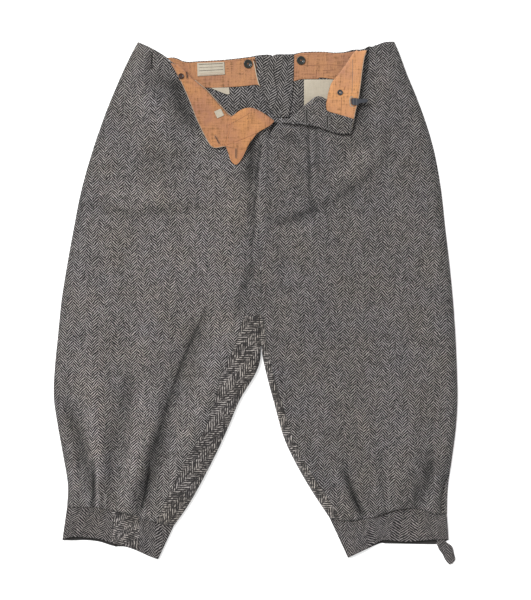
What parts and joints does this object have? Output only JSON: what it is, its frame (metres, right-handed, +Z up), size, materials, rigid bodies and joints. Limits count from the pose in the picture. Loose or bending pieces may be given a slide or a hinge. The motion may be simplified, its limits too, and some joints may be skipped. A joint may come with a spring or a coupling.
{
  "type": "knee-length trousers",
  "caption": "Knee-length herringbone tweed trousers laid flat with the front up, waist open and both fronts turned out, full legs gathered into knee bands.",
  "frame": {"origin": "middle of the outline, on the surface that the trousers lie on", "axes": "+Y from the knees to the waist, +Z up out of the front, +X to the wearer's left"},
  "size_m": [0.6476, 0.8384, 0.0224],
  "materials": {
    "tweed_right": "woven wool in a black and white herringbone, matt",
    "tweed_left": "woven wool in a black and white herringbone, matt",
    "cotton_tan": "plain cotton, matt",
    "cotton_ivory": "plain cotton, matt",
    "label": "woven tape, bare",
    "horn_dark": "dark horn, polished",
    "horn_brown": "brown horn, satin",
    "steel": "darkened"
  },
  "bodies": {
    "root": {"front_right": "tweed_right", "front_left": "tweed_left", "back_right": "tweed_right", "back_left": "tweed_left", "knee_band_right": "tweed_right", "knee_band_left": "tweed_left", "strap_end": "tweed_left", "underlap": "tweed_left", "belt_loop": "tweed_right", "fly_strip": "tweed_left", "seam_turning_right": "tweed_right", "seam_turning_left": "tweed_left", "front_facing_right": "cotton_tan", "front_facing_left": "cotton_tan", "back_facing_right": "cotton_tan", "back_facing_left": "cotton_tan", "fly_bearer": "cotton_tan", "bearer_tongue": "cotton_tan", "pocket_bag_right": "cotton_ivory", "pocket_bag_left": "cotton_ivory", "label": "label", "laundry_tab": "label", "brace_button_right": "horn_dark", "brace_button_left": "horn_dark", "small_button": "horn_brown", "bearer_button": "steel", "trouser_hook": "steel"}
  },
  "joints": []
}
